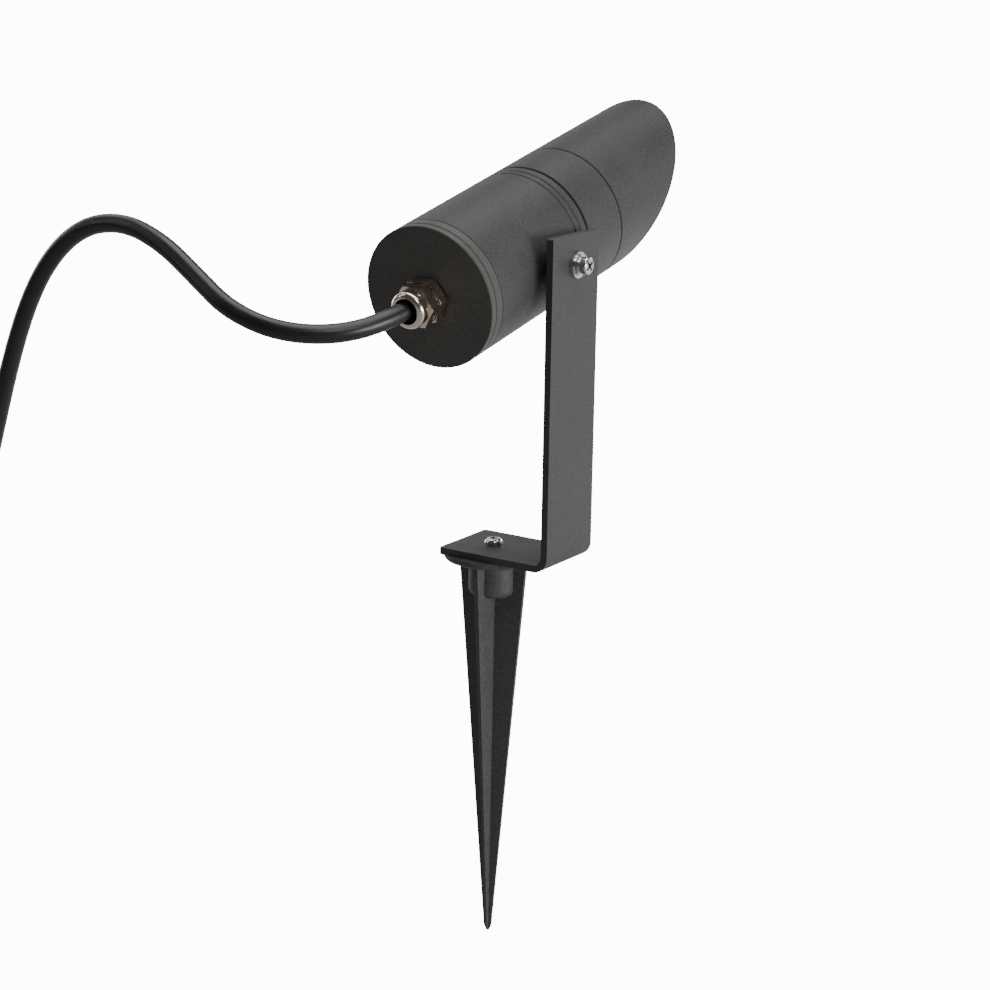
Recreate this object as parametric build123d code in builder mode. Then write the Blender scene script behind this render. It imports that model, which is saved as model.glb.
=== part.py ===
"""Garden spike spotlight: a tubular head with a slanted glare hood, on an L bracket over a spike.

Millimetres, +Z up. The origin is on the spike's axis at the underside of its flange, which is where
the soil comes to. +Y is the way the light points, and the bracket's leg stands on the +X side.
The head is drawn by its stations: distances along its own axis, forward of the tilt pivot.
"""

import math
import os

from build123d import *

os.makedirs("parts", exist_ok=True)

# ---- driving sizes ----------------------------------------------------------------------------

FIT = 0.03  # between pieces pressed or screwed together, all round
RUNNING = 0.08  # between a pin or spigot and the hole it turns in, all round
SEAT = 0.25  # between a soft or loose inner piece and its seat

# ground spike
FLANGE_RADIUS = 21.2
FLANGE_THICKNESS = 3.0
FLANGE_EDGE_RADIUS = 2.0
SOCKET_RADIUS = 10.5
SOCKET_DEPTH = 16.0
SOCKET_EDGE_RADIUS = 3.5
SPIKE_LENGTH = 171.0
FIN_REACH = 16.0
FIN_EDGE = 1.9
FIN_ROOT = 5.2
TIP_REACH = 1.7
TIP_EDGE = 1.0
TIP_ROOT = 1.5
TIP_LENGTH = 2.5
FIN_TURN = 5.0  # degrees that the four fins are turned from the bracket's sides
FIN_COUNT = 4

# bracket, a flat bar bent once
BAR_WIDTH = 35.0
BAR_THICKNESS = 3.0
BEND_RADIUS = 3.7
LEG_STANDOFF = 7.6  # from the head's side to the leg's outer face
LEG_TOP_OVER_PIVOT = 12.4
FOOT_REACH = 16.0
BAR_CORNER = 1.0
PIVOT_HEIGHT = 126.7  # over the foot's underside

# foot screw, M4 pan head, and its insert
FOOT_THREAD_RADIUS = 2.0
FOOT_SCREW_LENGTH = 12.0
PAN_RADIUS = 4.0
PAN_HEIGHT = 2.6
PAN_EDGE_HEIGHT = 0.8
PAN_CROWN_RADIUS = 1.4
PAN_CROSS_TURN = 20.0
PAN_CROSS_LENGTH = 5.2
PAN_CROSS_WIDTH = 1.3
PAN_CROSS_DEPTH = 1.7
INSERT_RADIUS = 3.2
INSERT_LENGTH = 13.0

# head
TILT = 12.2  # degrees above level, as photographed
TUBE_RADIUS = 30.0
REAR_FACE = -50.9
CAP_SEAM = -43.1
CAP_GROOVE_FROM_FACE = 3.3
COLLAR_SEAM = 23.8  # middle of the dark seam between tube and front ring
COLLAR_GAP = 1.2
HOOD_SEAM = 49.6
HOOD_GAP = 0.6
HOOD_LOWER_LIP = 58.7
HOOD_TIP = 121.0
GROOVE_WIDTH = 0.9
GROOVE_DEPTH = 0.45
TUBE_GROOVES_BEHIND_SEAM = (4.75, 8.35)
EDGE_BREAK = 0.3
REAR_WALL = 2.5  # at the rear bore, which takes the cap
MAIN_WALL = 3.5
NECK_STEP = 2.6  # from the tube's outside in to the neck's
NECK_WALL = 1.9
NECK_SHOULDER = 2.6  # metal between the main bore's end and the tube's front
NECK_END = 41.5

# rear cap
CAP_PLATE = 4.0
CAP_WALL = 4.0
SPIGOT_LENGTH = 6.5
RING_SECTION = 2.0
RING_GROOVE_WIDTH = 2.5
RING_GROOVE_FROM_SEAM = 1.6

# cable gland, 15.2 mm thread
GLAND_THREAD_RADIUS = 7.6
GLAND_FLATS = 17.0
GLAND_SEAL_WASHER = 0.8
GLAND_SEAL_WASHER_RADIUS = 8.4
GLAND_BASE_HEX = 4.6
GLAND_WAIST = 0.8
GLAND_WAIST_RADIUS = 7.4
CAP_NUT_FLATS = 16.4
CAP_NUT_HEX = 4.6
CAP_NUT_NOSE_RADIUS = 7.75
CAP_NUT_MOUTH_RADIUS = 5.4
CAP_NUT_LIP_RADIUS = 2.0
GLAND_LENGTH = 16.3  # out of the rear face
GLAND_BORE = 4.6
GLAND_SOCKET_RADIUS = 5.8
SEAL_FROM_FACE = 5.6
SEAL_LENGTH = 6.0
LOCKNUT_FLATS = 18.0
LOCKNUT_HEIGHT = 3.0
STUB_PAST_LOCKNUT = 1.0
BASE_TURN = -6.0  # degrees, as the gland's hexagons came to rest
CAP_NUT_TURN = 3.0
LOCKNUT_TURN = 8.0
BEVEL_SHARE = 0.5  # of the corner's height over the flats, where the bevel meets the end face
BEVEL_SLOPE = 0.35  # the bevel's length for each unit of that height

# pivot, M4 cross-recessed pan head screw
PIVOT_THREAD_RADIUS = 2.0
SPOT_FACE_DEPTH = 1.0
SPOT_FACE_RADIUS = 7.6
SPACER_RADIUS = 7.0
FRICTION_WASHER = 0.8
WASHER_RADIUS = 5.4
WASHER_THICKNESS = 1.8
SPRING_WASHER_RADIUS = 4.5
SPRING_WASHER_THICKNESS = 1.3
SPRING_WASHER_SLIT = 0.8
PIVOT_HEAD_RADIUS = 3.6
PIVOT_HEAD_HEIGHT = 3.5
PIVOT_HEAD_EDGE = 0.9
PIVOT_CROSS_LENGTH = 5.0
PIVOT_CROSS_WIDTH = 1.2
PIVOT_CROSS_DEPTH = 1.8
PIVOT_CROSS_TURN = 25.0
BUSH_STEM_RADIUS = 4.5
BUSH_FLANGE_RADIUS = 6.8
BUSH_REACH = 7.0  # in from the head's side

# front ring, glass and hood
GASKET = 1.0
GLASS_THICKNESS = 4.0
GLASS_CLEARANCE = 0.2
LIP_COVER = 1.0  # of the lip over the gasket's inner edge
SPIGOT_STEP = 2.7  # from the ring's outside in to its spigot
SPIGOT_REACH = 5.6
LOCK_GROOVE_WIDTH = 2.8
LOCK_GROOVE_DEPTH = 0.7
LOCK_GROOVE_FORWARD = 0.3  # of the spigot's middle
HOOD_WALL = 2.0
GRUB_RADIUS = 1.5
GRUB_TIP_RADIUS = 1.1
GRUB_SOCKET = 1.5
GRUB_SOCKET_DEPTH = 1.2
GRUB_TOP_SUNK = 0.4

# lamp, its holder and the wiring inside
HOLDER_PLATE_STATION = -19.0  # the plate's front face, on the tube's step
HOLDER_PLATE = 1.5
HOLDER_RADIUS = 14.5
HOLDER_LENGTH = 13.0
HOLDER_EDGE = 1.2
CIRCLIP_SECTION = 1.2
CIRCLIP_WIDTH = 2.4
CIRCLIP_GROOVE_DEPTH = 0.9
CIRCLIP_OPENING = 12.0
LAMP_CLEARANCE = 0.5  # to the neck, all round
LAMP_FRONT = 40.6
LAMP_BASE_RADIUS = 13.5
LAMP_SHELL = 1.6
LAMP_BASE_LENGTH = 17.0
LAMP_RIM = 5.0
PIN_SPACING = 10.0
PIN_RADIUS = 1.5
PIN_KNOB_RADIUS = 2.4
PIN_KNOB_LENGTH = 2.6
PIN_LENGTH = 7.2
LENS_RIM = 2.2
LENS_THICKNESS = 2.4
LENS_DOME_RADIUS = 5.6
LENS_DOME_SINK = 4.2
LENS_RING_RADIUS = 14.0
LENS_COUNT = 6
LED_SIZE = 3.0
LED_HEIGHT = 0.8
BOARD_EDGE = 5.0  # from the lamp's side in to the board
BOARD_THICKNESS = 1.2
BOARD_DEPTH = 9.5  # behind the lamp's front
BLOCK_SIZE = (24.0, 10.0, 10.0)
BLOCK_PAST_SCREW = 4.0  # from the holder's upper screw up to the block's middle
BLOCK_FRONT_GAP = 5.0
BLOCK_SINK = 2.0  # that a wire goes into the block
BLOCK_PEG_RADIUS = 1.2
CORE_RADIUS = 1.25
CORE_SPACING = 8.0
CORE_BEND = 2.6
LEAD_RADIUS = 0.9
LEAD_BEND = 2.0
LEAD_SINK = 3.0  # that a lead goes into the lamp holder
EARTH_FROM_BORE = 6.5  # from the rear bore in to the earth screw
LUG_RADIUS = 3.4
LUG_THICKNESS = 0.8
LUG_MARGIN = 0.2  # of the lug's tongue past its lead
LUG_TONGUE_WIDTH = 3.0
HOLDER_SCREW_SPACING = 20.0
HOLDER_SCREW_RADIUS = 1.5
HOLDER_SCREW_HEAD = 2.7
HOLDER_SCREW_LENGTH = 6.0
HOLDER_SCREW_SLOT = 0.8

# cord
CORD_RADIUS = 3.9
ARC_SHARE = 0.45  # of the shorter run that an arc takes at its corner
FLOOR = -SPIKE_LENGTH
CORD_START = -43.3  # station of the jacket's end inside the head
CORD_OUT = -69.0  # station of the first bend, just outside the gland
# the cord's points after it leaves the gland: its curl, and then its fall to the floor
CURL = [
    (-9.6, -90.6, 109.3),
    (-28.8, -106.6, 109.8),
    (-52.0, -110.6, 116.6),
    (-73.0, -105.8, 127.6),
    (-93.5, -102.0, 138.6),
]
FALL = [
    (-115.5, -100.4, 144.6),
    (-139.5, -99.0, 139.6),
    (-160.5, -98.5, 121.6),
    (-176.5, -99.2, 91.0),
    (-193.4, -101.0, 34.5),
    (-213.0, -103.5, -34.8),
    (-231.0, -106.0, -96.5),
    (-246.0, -108.2, -136.0),
    (-264.5, -110.4, -156.0),
]
LANDING_RUN = 30.0  # straight along the floor before the coil
COIL_CENTRE = (-318.0, -62.0)
COIL_OUTER = 49.5
COIL_PITCH = 8.7
COIL_LAYER = 8.5
TURNS_IN = 1.75
TURNS_CLIMB = 0.5
TURNS_OUT = 1.4
ARCS_PER_TURN = 4
TAIL_LENGTH = 16.0
TIE_WIDTH = 4.0
TIE_THICKNESS = 1.0
TIE_SLACK = 0.35
TIE_HEAD = (6.0, 5.5, 4.0)
CORE_FREE_LENGTH = 30.0
CORE_END_RADIUS = 1.3
CORE_OFFSET = 1.7
CORE_SPLAY = 5.0
FERRULE_RADIUS = 0.9
FERRULE_LENGTH = 8.0

# ---- places worked out from the sizes ---------------------------------------------------------

FOOT_UNDERSIDE = FLANGE_THICKNESS
FOOT_TOP = FOOT_UNDERSIDE + BAR_THICKNESS
PIVOT = Vector(0, 0, FOOT_UNDERSIDE + PIVOT_HEIGHT)
AIM = Vector(0, math.cos(math.radians(TILT)), math.sin(math.radians(TILT)))
RISE = Vector(0, -math.sin(math.radians(TILT)), math.cos(math.radians(TILT)))
HEAD_AXIS = Axis(tuple(PIVOT), tuple(AIM))
HEAD_SECTION = Plane(origin=PIVOT, x_dir=RISE, z_dir=(-1, 0, 0))

REAR_BORE = TUBE_RADIUS - REAR_WALL
MAIN_BORE = TUBE_RADIUS - MAIN_WALL
NECK_RADIUS = TUBE_RADIUS - NECK_STEP
NECK_BORE = NECK_RADIUS - NECK_WALL
CAP_INNER_RADIUS = REAR_BORE - CAP_WALL
EARTH_OFFSET = REAR_BORE - EARTH_FROM_BORE
BLOCK_OFFSET = HOLDER_SCREW_SPACING / 2 + BLOCK_PAST_SCREW
LUG_TONGUE = EARTH_OFFSET - BLOCK_OFFSET + LEAD_RADIUS + LUG_MARGIN
SPOT_FACE = TUBE_RADIUS - SPOT_FACE_DEPTH
BUSH_INNER_FACE = TUBE_RADIUS - BUSH_REACH
GLASS_RADIUS = NECK_RADIUS - GLASS_CLEARANCE
LIP_BORE = NECK_BORE - LIP_COVER
SPIGOT_RADIUS = TUBE_RADIUS - SPIGOT_STEP
HOOD_BORE = TUBE_RADIUS - HOOD_WALL
LAMP_RADIUS = NECK_BORE - LAMP_CLEARANCE
LENS_RADIUS = LAMP_RADIUS - LENS_RIM
BOARD_RADIUS = LAMP_RADIUS - BOARD_EDGE
LEG_FACE = TUBE_RADIUS + LEG_STANDOFF
CAP_INNER_FACE = REAR_FACE + CAP_PLATE
TUBE_FRONT = COLLAR_SEAM - COLLAR_GAP / 2
MAIN_BORE_END = TUBE_FRONT - NECK_SHOULDER
RING_REAR = COLLAR_SEAM + COLLAR_GAP / 2
RING_FRONT = HOOD_SEAM - HOOD_GAP / 2
HOOD_REAR = HOOD_SEAM + HOOD_GAP / 2
GLASS_REAR = NECK_END + GASKET
GLASS_FRONT = GLASS_REAR + GLASS_THICKNESS
LIP_REAR = GLASS_FRONT + GASKET
SPIGOT_END = RING_FRONT + SPIGOT_REACH
LOCK_GROOVE_STATION = RING_FRONT + SPIGOT_REACH / 2 + LOCK_GROOVE_FORWARD
LEG_INNER = LEG_FACE - BAR_THICKNESS
LEG_TOP = PIVOT.Z + LEG_TOP_OVER_PIVOT
HOLDER_REAR = HOLDER_PLATE_STATION - HOLDER_PLATE
HOLDER_FRONT = HOLDER_PLATE_STATION + HOLDER_LENGTH
LAMP_REAR = HOLDER_FRONT + SEAT
COIL_FLOOR = FLOOR + TIE_THICKNESS + TIE_SLACK + CORD_RADIUS  # the tie goes under the turns


def at_station(station):
    """The plane across the head's axis, with X as the row's X and Y towards the head's underside."""
    return Plane(origin=PIVOT + AIM * station, x_dir=(1, 0, 0), z_dir=AIM)


def turned(outline):
    """Revolve an outline of (radius, station) points about the head's axis."""
    with BuildSketch(HEAD_SECTION) as section:
        with BuildLine():
            Polyline(*outline, close=True)
        make_face()
    revolve(section.sketch, axis=HEAD_AXIS)


def notch(radius, station, width=GROOVE_WIDTH, depth=GROOVE_DEPTH):
    """The points of a V groove in a surface of the given radius, from rear to front."""
    return [
        (radius, station - width / 2),
        (radius - depth, station),
        (radius, station + width / 2),
    ]


def save(piece, name):
    """Label a finished piece and write it as one STEP file."""
    piece.part.label = name
    export_step(piece.part, f"parts/{name}.step")


# ---- ground spike -----------------------------------------------------------------------------


def cross_section(reach, edge, root):
    """A cross of tapered fins: thin at their outer edges and thick at the middle."""
    with BuildSketch() as cross:
        with BuildSketch(mode=Mode.PRIVATE) as fin:
            with BuildLine():
                Polyline(
                    (0, -root / 2),
                    (reach, -edge / 2),
                    (reach, edge / 2),
                    (0, root / 2),
                    close=True,
                )
            make_face()
        with PolarLocations(0, FIN_COUNT, start_angle=FIN_TURN):
            add(fin.sketch)
    return cross.sketch


with BuildPart() as ground_spike:
    with BuildSketch(Plane.XY):
        Circle(FLANGE_RADIUS)
    extrude(amount=FLANGE_THICKNESS)
    rim = ground_spike.edges().filter_by(GeomType.CIRCLE).sort_by(Axis.Z)[0]
    fillet(rim, FLANGE_EDGE_RADIUS)
    with BuildSketch(Plane.XY):
        Circle(SOCKET_RADIUS)
    extrude(amount=-SOCKET_DEPTH)
    fillet(ground_spike.edges().sort_by(Axis.Z)[0], SOCKET_EDGE_RADIUS)
    with BuildSketch(Plane.XY):
        add(cross_section(FIN_REACH, FIN_EDGE, FIN_ROOT))
    with BuildSketch(Plane.XY.offset(TIP_LENGTH - SPIKE_LENGTH)):
        add(cross_section(TIP_REACH, TIP_EDGE, TIP_ROOT))
    loft(ruled=True)
    with BuildSketch(Plane.XY.offset(TIP_LENGTH - SPIKE_LENGTH)):
        add(cross_section(TIP_REACH, TIP_EDGE, TIP_ROOT))
    with BuildSketch(Plane.XY.offset(-SPIKE_LENGTH)):
        add(cross_section(TIP_REACH * 0.35, TIP_EDGE * 0.35, TIP_ROOT * 0.35))
    loft(ruled=True)
    with BuildSketch(Plane.XY.offset(FLANGE_THICKNESS)):
        Circle(INSERT_RADIUS + FIT)
    extrude(amount=-INSERT_LENGTH, mode=Mode.SUBTRACT)
save(ground_spike, "ground_spike")

with BuildPart() as spike_insert:
    with BuildSketch(Plane.XY.offset(FLANGE_THICKNESS)):
        Circle(INSERT_RADIUS)
        Circle(FOOT_THREAD_RADIUS + FIT, mode=Mode.SUBTRACT)
    extrude(amount=-INSERT_LENGTH)
save(spike_insert, "spike_insert")

with BuildPart() as foot_screw:
    with BuildSketch(Plane.XZ):
        with BuildLine():
            Line((0, FOOT_TOP), (PAN_RADIUS, FOOT_TOP))
            Line((PAN_RADIUS, FOOT_TOP), (PAN_RADIUS, FOOT_TOP + PAN_EDGE_HEIGHT))
            TangentArc(
                (PAN_RADIUS, FOOT_TOP + PAN_EDGE_HEIGHT),
                (PAN_CROWN_RADIUS, FOOT_TOP + PAN_HEIGHT),
                tangent=(0, 1),
            )
            Line((PAN_CROWN_RADIUS, FOOT_TOP + PAN_HEIGHT), (0, FOOT_TOP + PAN_HEIGHT))
            Line((0, FOOT_TOP + PAN_HEIGHT), (0, FOOT_TOP))
        make_face()
    revolve(axis=Axis.Z)
    with BuildSketch(Plane.XY.offset(FOOT_TOP)):
        Circle(FOOT_THREAD_RADIUS)
    extrude(amount=-FOOT_SCREW_LENGTH)
    with BuildSketch(Plane.XY.offset(FOOT_TOP + PAN_HEIGHT)):
        with PolarLocations(0, 2, start_angle=PAN_CROSS_TURN, angular_range=180):
            Rectangle(PAN_CROSS_LENGTH, PAN_CROSS_WIDTH)
    extrude(amount=-PAN_CROSS_DEPTH, mode=Mode.SUBTRACT)
save(foot_screw, "foot_screw")

# ---- bracket ----------------------------------------------------------------------------------

with BuildPart() as bracket:
    with BuildSketch(Plane.XZ):
        with BuildLine():
            FilletPolyline(
                (-FOOT_REACH, FOOT_UNDERSIDE),
                (LEG_FACE, FOOT_UNDERSIDE),
                (LEG_FACE, LEG_TOP),
                radius=BEND_RADIUS + BAR_THICKNESS,
            )
            Line((LEG_FACE, LEG_TOP), (LEG_INNER, LEG_TOP))
            FilletPolyline(
                (LEG_INNER, LEG_TOP),
                (LEG_INNER, FOOT_TOP),
                (-FOOT_REACH, FOOT_TOP),
                radius=BEND_RADIUS,
            )
            Line((-FOOT_REACH, FOOT_TOP), (-FOOT_REACH, FOOT_UNDERSIDE))
        make_face()
    extrude(amount=BAR_WIDTH / 2, both=True)
    foot_corners = bracket.edges().filter_by(Axis.Z).sort_by(Axis.X)[:2]
    leg_corners = bracket.edges().filter_by(Axis.X).sort_by(Axis.Z)[-2:]
    fillet(foot_corners + leg_corners, BAR_CORNER)
    with BuildSketch(Plane.XY.offset(FOOT_TOP)):
        Circle(FOOT_THREAD_RADIUS + RUNNING)
    extrude(amount=-BAR_THICKNESS, mode=Mode.SUBTRACT)
    with BuildSketch(Plane.YZ.offset(LEG_FACE)):
        with Locations((PIVOT.Y, PIVOT.Z)):
            Circle(PIVOT_THREAD_RADIUS + RUNNING)
    extrude(amount=-BAR_THICKNESS, mode=Mode.SUBTRACT)
save(bracket, "bracket")

# ---- pivot ------------------------------------------------------------------------------------


def across(x):
    """The plane square to the tilt pin at a distance from the head's axis, facing outwards."""
    return Plane(origin=PIVOT + Vector(x, 0, 0), x_dir=AIM, z_dir=(1, 0, 0))


WASHER_FACE = LEG_FACE + WASHER_THICKNESS
SPRING_FACE = WASHER_FACE + SPRING_WASHER_THICKNESS
HEAD_FACE = SPRING_FACE + PIVOT_HEAD_HEIGHT
SPACER_FACE = LEG_INNER - FRICTION_WASHER

with BuildPart() as pivot_screw:
    with BuildSketch(across(SPRING_FACE)):
        Circle(PIVOT_HEAD_RADIUS)
    extrude(amount=PIVOT_HEAD_HEIGHT)
    fillet(pivot_screw.edges().sort_by(Axis.X)[-1], PIVOT_HEAD_EDGE)
    with BuildSketch(across(SPRING_FACE)):
        Circle(PIVOT_THREAD_RADIUS)
    extrude(amount=BUSH_INNER_FACE - SPRING_FACE)
    with BuildSketch(across(HEAD_FACE)):
        with PolarLocations(0, 2, start_angle=PIVOT_CROSS_TURN, angular_range=180):
            Rectangle(PIVOT_CROSS_LENGTH, PIVOT_CROSS_WIDTH)
    extrude(amount=-PIVOT_CROSS_DEPTH, mode=Mode.SUBTRACT)
save(pivot_screw, "pivot_screw")

with BuildPart() as pivot_spring_washer:
    with BuildSketch(across(WASHER_FACE)):
        Circle(SPRING_WASHER_RADIUS)
        Circle(PIVOT_THREAD_RADIUS + RUNNING, mode=Mode.SUBTRACT)
        with Locations((0, -SPRING_WASHER_RADIUS)):
            Rectangle(SPRING_WASHER_SLIT, SPRING_WASHER_RADIUS, mode=Mode.SUBTRACT)
    extrude(amount=SPRING_WASHER_THICKNESS)
save(pivot_spring_washer, "pivot_spring_washer")

with BuildPart() as pivot_flat_washer:
    with BuildSketch(across(LEG_FACE)):
        Circle(WASHER_RADIUS)
        Circle(PIVOT_THREAD_RADIUS + RUNNING, mode=Mode.SUBTRACT)
    extrude(amount=WASHER_THICKNESS)
save(pivot_flat_washer, "pivot_flat_washer")

with BuildPart() as pivot_friction_washer:
    with BuildSketch(across(SPACER_FACE)):
        Circle(SPACER_RADIUS)
        Circle(PIVOT_THREAD_RADIUS + RUNNING, mode=Mode.SUBTRACT)
    extrude(amount=FRICTION_WASHER)
save(pivot_friction_washer, "pivot_friction_washer")

with BuildPart() as pivot_spacer:
    with BuildSketch(across(SPOT_FACE)):
        Circle(SPACER_RADIUS)
        Circle(PIVOT_THREAD_RADIUS + RUNNING, mode=Mode.SUBTRACT)
    extrude(amount=SPACER_FACE - SPOT_FACE)
save(pivot_spacer, "pivot_spacer")

with BuildPart() as pivot_bush:
    with BuildSketch(across(BUSH_INNER_FACE)):
        Circle(BUSH_FLANGE_RADIUS)
    extrude(amount=MAIN_BORE - BUSH_INNER_FACE)
    with BuildSketch(at_station(-BUSH_FLANGE_RADIUS)):
        Circle(MAIN_BORE - FIT)
    extrude(amount=2 * BUSH_FLANGE_RADIUS, mode=Mode.INTERSECT)
    with BuildSketch(across(BUSH_INNER_FACE)):
        Circle(BUSH_STEM_RADIUS - FIT)
    extrude(amount=SPOT_FACE - BUSH_INNER_FACE)
    with BuildSketch(across(BUSH_INNER_FACE)):
        Circle(PIVOT_THREAD_RADIUS + FIT)
    extrude(amount=SPOT_FACE - BUSH_INNER_FACE, mode=Mode.SUBTRACT)
save(pivot_bush, "pivot_bush")

# ---- head shell -------------------------------------------------------------------------------

with BuildPart() as body_tube:
    front_grooves = [
        point
        for back in sorted(TUBE_GROOVES_BEHIND_SEAM, reverse=True)
        for point in notch(TUBE_RADIUS, COLLAR_SEAM - back)
    ]
    circlip_groove = [
        (REAR_BORE, HOLDER_REAR),
        (REAR_BORE + CIRCLIP_GROOVE_DEPTH, HOLDER_REAR),
        (REAR_BORE + CIRCLIP_GROOVE_DEPTH, HOLDER_REAR - CIRCLIP_SECTION - FIT),
        (REAR_BORE, HOLDER_REAR - CIRCLIP_SECTION - FIT),
    ]
    turned(
        [
            (REAR_BORE, CAP_SEAM),
            (TUBE_RADIUS - EDGE_BREAK, CAP_SEAM),
            (TUBE_RADIUS, CAP_SEAM + EDGE_BREAK),
            *front_grooves,
            (TUBE_RADIUS, TUBE_FRONT - EDGE_BREAK),
            (TUBE_RADIUS - EDGE_BREAK, TUBE_FRONT),
            (NECK_RADIUS, TUBE_FRONT),
            (NECK_RADIUS, NECK_END),
            (NECK_BORE, NECK_END),
            (NECK_BORE, MAIN_BORE_END),
            (MAIN_BORE, MAIN_BORE_END),
            (MAIN_BORE, HOLDER_PLATE_STATION),
            (REAR_BORE, HOLDER_PLATE_STATION),
            *circlip_groove,
        ]
    )
    with BuildSketch(across(SPOT_FACE)):
        Circle(SPOT_FACE_RADIUS)
    extrude(amount=TUBE_RADIUS - SPOT_FACE, mode=Mode.SUBTRACT)
    with BuildSketch(across(SPOT_FACE)):
        Circle(BUSH_STEM_RADIUS)
    extrude(amount=BUSH_INNER_FACE - SPOT_FACE, mode=Mode.SUBTRACT)
save(body_tube, "body_tube")

RING_GROOVE_REAR = CAP_SEAM + RING_GROOVE_FROM_SEAM
RING_GROOVE_FRONT = RING_GROOVE_REAR + RING_GROOVE_WIDTH
CAP_SPIGOT_RADIUS = REAR_BORE - RUNNING
RING_GROOVE_RADIUS = CAP_SPIGOT_RADIUS - RING_SECTION + FIT
RING_MIDDLE_RADIUS = RING_GROOVE_RADIUS + RING_SECTION / 2 + FIT

with BuildPart() as rear_cap:
    turned(
        [
            (GLAND_THREAD_RADIUS + FIT, REAR_FACE),
            (TUBE_RADIUS - EDGE_BREAK, REAR_FACE),
            (TUBE_RADIUS, REAR_FACE + EDGE_BREAK),
            *notch(TUBE_RADIUS, REAR_FACE + CAP_GROOVE_FROM_FACE),
            (TUBE_RADIUS, CAP_SEAM - EDGE_BREAK),
            (TUBE_RADIUS - EDGE_BREAK, CAP_SEAM),
            (CAP_SPIGOT_RADIUS, CAP_SEAM),
            (CAP_SPIGOT_RADIUS, RING_GROOVE_REAR),
            (RING_GROOVE_RADIUS, RING_GROOVE_REAR),
            (RING_GROOVE_RADIUS, RING_GROOVE_FRONT),
            (CAP_SPIGOT_RADIUS, RING_GROOVE_FRONT),
            (CAP_SPIGOT_RADIUS, CAP_SEAM + SPIGOT_LENGTH),
            (CAP_INNER_RADIUS, CAP_SEAM + SPIGOT_LENGTH),
            (CAP_INNER_RADIUS, CAP_INNER_FACE),
            (GLAND_THREAD_RADIUS + FIT, CAP_INNER_FACE),
        ]
    )
save(rear_cap, "rear_cap")

with BuildPart() as rear_seal_ring:
    with BuildSketch(HEAD_SECTION):
        with Locations((RING_MIDDLE_RADIUS, RING_GROOVE_REAR + RING_GROOVE_WIDTH / 2)):
            Circle(RING_SECTION / 2 - FIT)
    revolve(axis=HEAD_AXIS)
save(rear_seal_ring, "rear_seal_ring")

# ---- front ring, glass and hood ---------------------------------------------------------------

with BuildPart() as collar_seal:
    turned(
        [
            (NECK_RADIUS + FIT, TUBE_FRONT),
            (TUBE_RADIUS - 2 * EDGE_BREAK, TUBE_FRONT),
            (TUBE_RADIUS - 2 * EDGE_BREAK, RING_REAR),
            (NECK_RADIUS + FIT, RING_REAR),
        ]
    )
save(collar_seal, "collar_seal")

with BuildPart() as front_ring:
    turned(
        [
            (NECK_RADIUS + RUNNING, RING_REAR),
            (TUBE_RADIUS - EDGE_BREAK, RING_REAR),
            (TUBE_RADIUS, RING_REAR + EDGE_BREAK),
            (TUBE_RADIUS, RING_FRONT - EDGE_BREAK),
            (TUBE_RADIUS - EDGE_BREAK, RING_FRONT),
            (SPIGOT_RADIUS, RING_FRONT),
            (SPIGOT_RADIUS, LOCK_GROOVE_STATION - LOCK_GROOVE_WIDTH / 2),
            (SPIGOT_RADIUS - LOCK_GROOVE_DEPTH, LOCK_GROOVE_STATION - LOCK_GROOVE_WIDTH / 2),
            (SPIGOT_RADIUS - LOCK_GROOVE_DEPTH, LOCK_GROOVE_STATION + LOCK_GROOVE_WIDTH / 2),
            (SPIGOT_RADIUS, LOCK_GROOVE_STATION + LOCK_GROOVE_WIDTH / 2),
            (SPIGOT_RADIUS, SPIGOT_END),
            (LIP_BORE + EDGE_BREAK, SPIGOT_END),
            (LIP_BORE, SPIGOT_END - EDGE_BREAK),
            (LIP_BORE, LIP_REAR),
            (NECK_RADIUS + RUNNING, LIP_REAR),
        ]
    )
save(front_ring, "front_ring")

for gasket_name, gasket_rear in (("inner_gasket", NECK_END), ("outer_gasket", GLASS_FRONT)):
    with BuildPart() as gasket:
        turned(
            [
                (NECK_BORE, gasket_rear),
                (GLASS_RADIUS, gasket_rear),
                (GLASS_RADIUS, gasket_rear + GASKET),
                (NECK_BORE, gasket_rear + GASKET),
            ]
        )
    save(gasket, gasket_name)

with BuildPart() as front_glass:
    with BuildSketch(at_station(GLASS_REAR)):
        Circle(GLASS_RADIUS)
    extrude(amount=GLASS_THICKNESS)
    chamfer(front_glass.edges(), EDGE_BREAK)
save(front_glass, "front_glass")

CUT_RUN = HOOD_TIP - HOOD_LOWER_LIP
CUT_MIDDLE = PIVOT + AIM * (HOOD_TIP + HOOD_LOWER_LIP) / 2
CUT_UP = (AIM * CUT_RUN + RISE * (2 * TUBE_RADIUS)).normalized()
CUT_PLANE = Plane(origin=CUT_MIDDLE, x_dir=(1, 0, 0), z_dir=Vector(1, 0, 0).cross(CUT_UP))

with BuildPart() as glare_hood:
    turned(
        [
            (SPIGOT_RADIUS + RUNNING, HOOD_REAR),
            (TUBE_RADIUS - EDGE_BREAK, HOOD_REAR),
            (TUBE_RADIUS, HOOD_REAR + EDGE_BREAK),
            (TUBE_RADIUS, HOOD_TIP + TUBE_RADIUS),
            (HOOD_BORE, HOOD_TIP + TUBE_RADIUS),
            (HOOD_BORE, SPIGOT_END + SEAT),
            (SPIGOT_RADIUS + RUNNING, SPIGOT_END + SEAT),
        ]
    )
    split(bisect_by=CUT_PLANE, keep=Keep.TOP)
    with BuildSketch(Plane(origin=PIVOT + AIM * LOCK_GROOVE_STATION, x_dir=(1, 0, 0), z_dir=-RISE)):
        Circle(GRUB_RADIUS + FIT)
    extrude(amount=TUBE_RADIUS, mode=Mode.SUBTRACT)
save(glare_hood, "glare_hood")

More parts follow.
